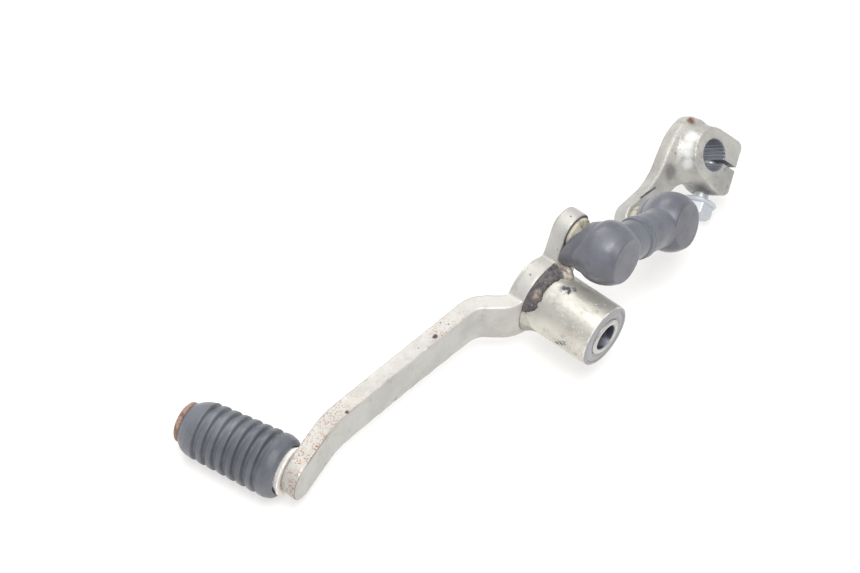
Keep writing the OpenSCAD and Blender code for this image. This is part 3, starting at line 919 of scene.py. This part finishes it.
boot_black = rubber("boot_black", (110, 112, 121), (92, 93, 101), 0.35)
for obj, node, body, reach, axis, ball in (
    (front_boot, "front_boot", "front_seat", FRONT_STUD, X_AXIS, FRONT_BALL),
    (rear_boot, "rear_boot", "rear_seat", REAR_STUD, REAR_AXIS, REAR_BALL),
):
    coat(obj, boot_black)
    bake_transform(obj)
    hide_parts(node)

# ------------------------------------------------------------------ link hardware inside the boots
zinc = bare_metal("zinc", (206, 205, 200), 0.4)
seat_plastic = plastic("seat_plastic")
socket_paint = paint("socket_paint", speckles=0.2)
for material, names in (
    (zinc, ("link_rod", "front_lock_nut", "rear_lock_nut")),
    (socket_paint, ("front_socket", "rear_socket", "front_socket_plug", "rear_socket_plug")),
    (seat_plastic, ("front_ball_seat", "rear_ball_seat")),
):
    for name in names:
        coat(nodes[name], material)


# ------------------------------------------------------------------ shift arm
def clamp_root():
    """The forging's fillet between the blade and the clamp ring, on the blade's side only."""
    steps, rows = 90, 9
    first, last = 22, 224  # degrees round the clamp
    low, high, inside = -7.3, -1.9, 8.6
    sections = []
    for k in range(steps + 1):
        a = math.radians(first + (last - first) * k / steps)
        grow = smoothstep(min(k, steps - k) / 14)
        section = []
        for j in range(rows + 1):
            t = j / rows
            z = low + (high - low) * t
            section.append((10.15 - 0.12 * (z + 7) + grow * 3.2 * (1 - t) ** 2.4, z))
        section += [(inside, high), (inside, low)]
        sections.append([(r * math.cos(a), r * math.sin(a), z) for r, z in section])
    return swept("clamp_root", sections, ARM)


def clamp_polar(point):
    """A point in the arm's frame, its distance from the bore's axis, and the cosine of its angle to the slot."""
    q = TO_ARM @ point
    return q, math.hypot(q.x, q.y), math.cos(math.atan2(q.y, q.x) - SLOT)


def forge(obj):
    """Rounds the blade and the back of the clamp, and spares the eye, the jaws and the bore."""
    group = obj.vertex_groups.new(name="rounded")
    for v in obj.data.vertices:
        q, rho, ahead = clamp_polar(v.co)
        weight = smoothstep((rho - 8.2) / 3.0) * smoothstep((0.45 - ahead) / 0.5)
        weight *= 1 - 0.75 * smoothstep((-q.x - 27) / 6)
        weight *= 0.3 + 0.7 * smoothstep((-q.z - 2.5) / 3)
        group.add([v.index], max(0.015, weight), "REPLACE")
    soft = obj.modifiers.new("forged", "SMOOTH")
    soft.factor = 0.5
    soft.iterations = 150
    soft.vertex_group = "rounded"
    finished(obj)


def clear_of_splines(point):
    """Opens the forging's bore to 6.3 mm, away from the slot, so that the separate splines line it."""
    q, rho, ahead = clamp_polar(point)
    in_bore = 4.5 <= rho < 6.3 and -12.75 <= q.z <= -0.3
    if not in_bore or ahead > 0.985:
        return Vector((0, 0, 0))
    grow = 6.3 / rho
    return ARM @ Vector((q.x * grow, q.y * grow, q.z)) - point


arm = copy_of("arm_forging", "shift_arm")
absorb(arm, clamp_root())
remeshed(arm, 0.26, 6)
forge(arm)
moved(arm, clear_of_splines)


def bore_oil_and_shade(n):
    """Old oil and shadow in the splined bore and the slot."""
    bore = n.fall(n.off_axis(CLAMP_CENTRE, REAR_AXIS), 0.0056, 0.0061)
    slot = n.fall(n.math("ABSOLUTE", n.along(CLAMP_CENTRE, BOLT_DIR)), 0.0006, 0.0009)
    slot = n.times(slot, n.band(n.along(CLAMP_CENTRE, SLOT_DIR), 0.0, 0.002))
    return n.most(bore, slot)


def arm_marks_and_shade(n):
    """A long scratch by the stud's eye, a dark stain on the blade, and painted shade under the clamp ring."""
    scratch = n.scratch(on_arm(-33, 5.9, -7.2), on_arm(-23.8, 4.1, -7.2), 0.5 * MM)
    places = ((-6.5, -8.6), (-2.0, -10.6), (2.5, -10.8))
    # Painted shade under the clamp ring.
    under_ring_shade = n.near_any([(on_arm(x, y, -4.5), 0.8, 5.2, 2.5) for x, y in places], 350)
    stain = n.near(on_arm(-15.6, 4.4, -7), 1.2 * MM, 4.2 * MM, 2.4 * MM, 420)
    return n.most(scratch, n.times(n.most(under_ring_shade, stain), 0.62))


def ring_highlight(n):
    """Painted highlight on the clamp ring's outer band, on the side away from its jaws."""
    places = ((-9.6, 3.6), (-8.0, 6.6), (-5.8, 8.4), (-3.0, 9.8))
    zone = n.near_any([(on_arm(x, y, -3.2), 0.4, 3.6, 3.2) for x, y in places], 260)
    return n.times(zone, 0.8, n.band(n.off_axis(CLAMP_CENTRE, REAR_AXIS), 0.0088, 0.0097))


# The arm's paint has a painted highlight on the clamp ring, and painted shade under the ring, in the bore and in
# the slot.
arm_paint = paint(
    "arm_paint", speckles=0.2, grime=0.7, base=rgb(197, 196, 191), dull=rgb(168, 167, 164), shine=0.5,
    rust_spots=[(on_arm(3.4, 12.3, -6.8), 0.5, 2.3, 1.6)], bright=ring_highlight, marks_and_shade=arm_marks_and_shade,
    dirt_and_shade=bore_oil_and_shade, dirt_and_shade_tone=rgb(122, 125, 134),
)
dress(arm, arm_paint, "shift_arm", ["shift_arm"])


def hexagon():
    """The bolt's head, with its corners chamfered at the top."""
    apothem, low, top = 4.95, BOLT_SEAT + 1.2, BOLT_SEAT + 5.55
    corner = apothem / math.cos(math.pi / 6)
    per_side = 20
    rows = ((low, corner), (top - 0.7, corner), (top - 0.35, corner - 0.12), (top - 0.1, corner - 0.45),
            (top, corner - 0.95))
    sections = []
    for x, limit in rows:
        section = []
        for k in range(6 * per_side):
            a = math.pi / 3 * (k / per_side)
            flat = apothem / math.cos(a % (math.pi / 3) - math.pi / 6)
            r = min(flat, limit, corner - 0.18)
            section.append((x, r * math.cos(a), r * math.sin(a)))
        sections.append(section)
    return swept("hexagon", sections, BOLT)


bolt_line = fillet(
    [(-8.4, 0), (-8.4, 2.0, 0.1), (-7.8, 2.63, 0.1), (BOLT_SEAT - 0.05, 2.63, 0), (BOLT_SEAT, 3.3, 0),
     (BOLT_SEAT, 6.0, 0.2), (BOLT_SEAT + 0.5, 6.3, 0.25), (BOLT_SEAT + 1.4, 5.9, 0.3),
     (BOLT_SEAT + 1.7, 5.0, 0.2), (BOLT_SEAT + 1.7, 0)], 0.2)
bolt = lathe("clamp_bolt", bolt_line, BOLT, 96)
absorb(bolt, hexagon())
crisp(bolt, 38)
bolt_zinc = bare_metal("bolt_zinc", (198, 203, 209), 0.3, 0.44, metal=0.45)
dress(bolt, bolt_zinc, "shift_arm", ["pinch_bolt"])


def spline_bore():
    """The clamp's splines, open at the slot."""
    teeth, per_tooth, tip, root, back = 28, 10, 5.5, 6.0, 6.7
    gap = math.radians(7.0)
    count = teeth * per_tooth
    sections = []
    for k in range(count + 1):
        a = SLOT + gap + (2 * math.pi - 2 * gap) * k / count
        part = (math.degrees(a) * teeth / 360) % 1.0
        wave = abs(2 * part - 1)
        r = root + (tip - root) * smoothstep((wave - 0.25) / 0.4)
        mouth = max(r, root)
        section = ((mouth, -0.1), (r, -0.6), (r, -12.4), (mouth, -12.9), (back, -12.9), (back, -0.1))
        sections.append([(x * math.cos(a), x * math.sin(a), z) for x, z in section])
    return swept("spline_bore", sections, ARM)


splines = crisp(spline_bore(), 30)
spline_steel = bare_metal("spline_steel", (152, 156, 166), 0.35, 0.4, (96, 92, 92), 0.45)
dress(splines, spline_steel, "shift_arm")


# ------------------------------------------------------------------ stage, light and camera
def floor_paper():
    n = Nodes("floor_paper")
    tone = n.mix(n.band(n.noise(6, 3), 0.3, 0.7), rgb(168, 167, 166), rgb(172, 171, 170))
    n.shader.inputs["Emission Color"].default_value = (1.0, 0.992, 0.98, 1.0)
    return n.done(tone, 0.85, 0.0, None, Specular_IOR_Level=0.1, Emission_Strength=0.62)


FLOOR_HALF = 2.0
floor_z = min(cad_box[0][2], cad_box[1][2]) - 0.0002
corners = [(x * FLOOR_HALF, y * FLOOR_HALF, floor_z) for x, y in ((-1, -1), (1, -1), (1, 1), (-1, 1))]
floor = new_object("floor", corners, [(0, 1, 2, 3)])
coat(floor, floor_paper())

studio = bpy.data.worlds.new("studio")
bpy.context.scene.world = studio
studio.use_nodes = True
background = studio.node_tree.nodes["Background"]
background.inputs["Color"].default_value = (0.97, 0.98, 1.0, 1)
background.inputs["Strength"].default_value = 0.5

LIGHT_SIZE = 0.6
LIGHT_TARGET = Vector((-0.03, -0.02, 0))


def area(name, place, power, color):
    """A soft square light aimed at the middle of the lever."""
    light = bpy.data.lights.new(name, "AREA")
    light.shape = "RECTANGLE"
    light.size = light.size_y = LIGHT_SIZE
    light.energy = power
    light.color = color
    obj = bpy.data.objects.new(name, light)
    obj.location = place
    obj.rotation_euler = (LIGHT_TARGET - Vector(place)).to_track_quat("-Z", "Y").to_euler()
    bpy.context.scene.collection.objects.link(obj)


area("key", (0.2, -0.28, 1.0), 10.5, (1.0, 0.99, 0.97))
area("fill", (-0.7, 0.3, 0.8), 4.0, (1.0, 0.985, 0.96))

# The camera is set in the pedal's own frame.
EYE = (220.5, -334.9, 521.0)
LOOK = (-0.4144, 0.4691, -0.7799)
RIGHT = (0.7512, 0.6601, -0.0021)
FOCAL_MM = 85.1

tilt = turn(PITCH, "X").to_3x3()
forward = (tilt @ Vector(LOOK)).normalized()
right = tilt @ Vector(RIGHT)
right = (right - right.dot(forward) * forward).normalized()
up = right.cross(forward)
camera = bpy.data.objects.new("camera", bpy.data.cameras.new("camera"))
camera.data.sensor_width = 36
camera.data.lens = FOCAL_MM
camera.data.clip_start = 0.01
camera.matrix_world = Matrix((right, up, -forward)).transposed().to_4x4()
camera.location = tilt @ Vector(EYE) * MM
bpy.context.scene.collection.objects.link(camera)
bpy.context.scene.camera = camera

view = bpy.context.scene.view_settings
view.view_transform = "Standard"
view.look = "None"
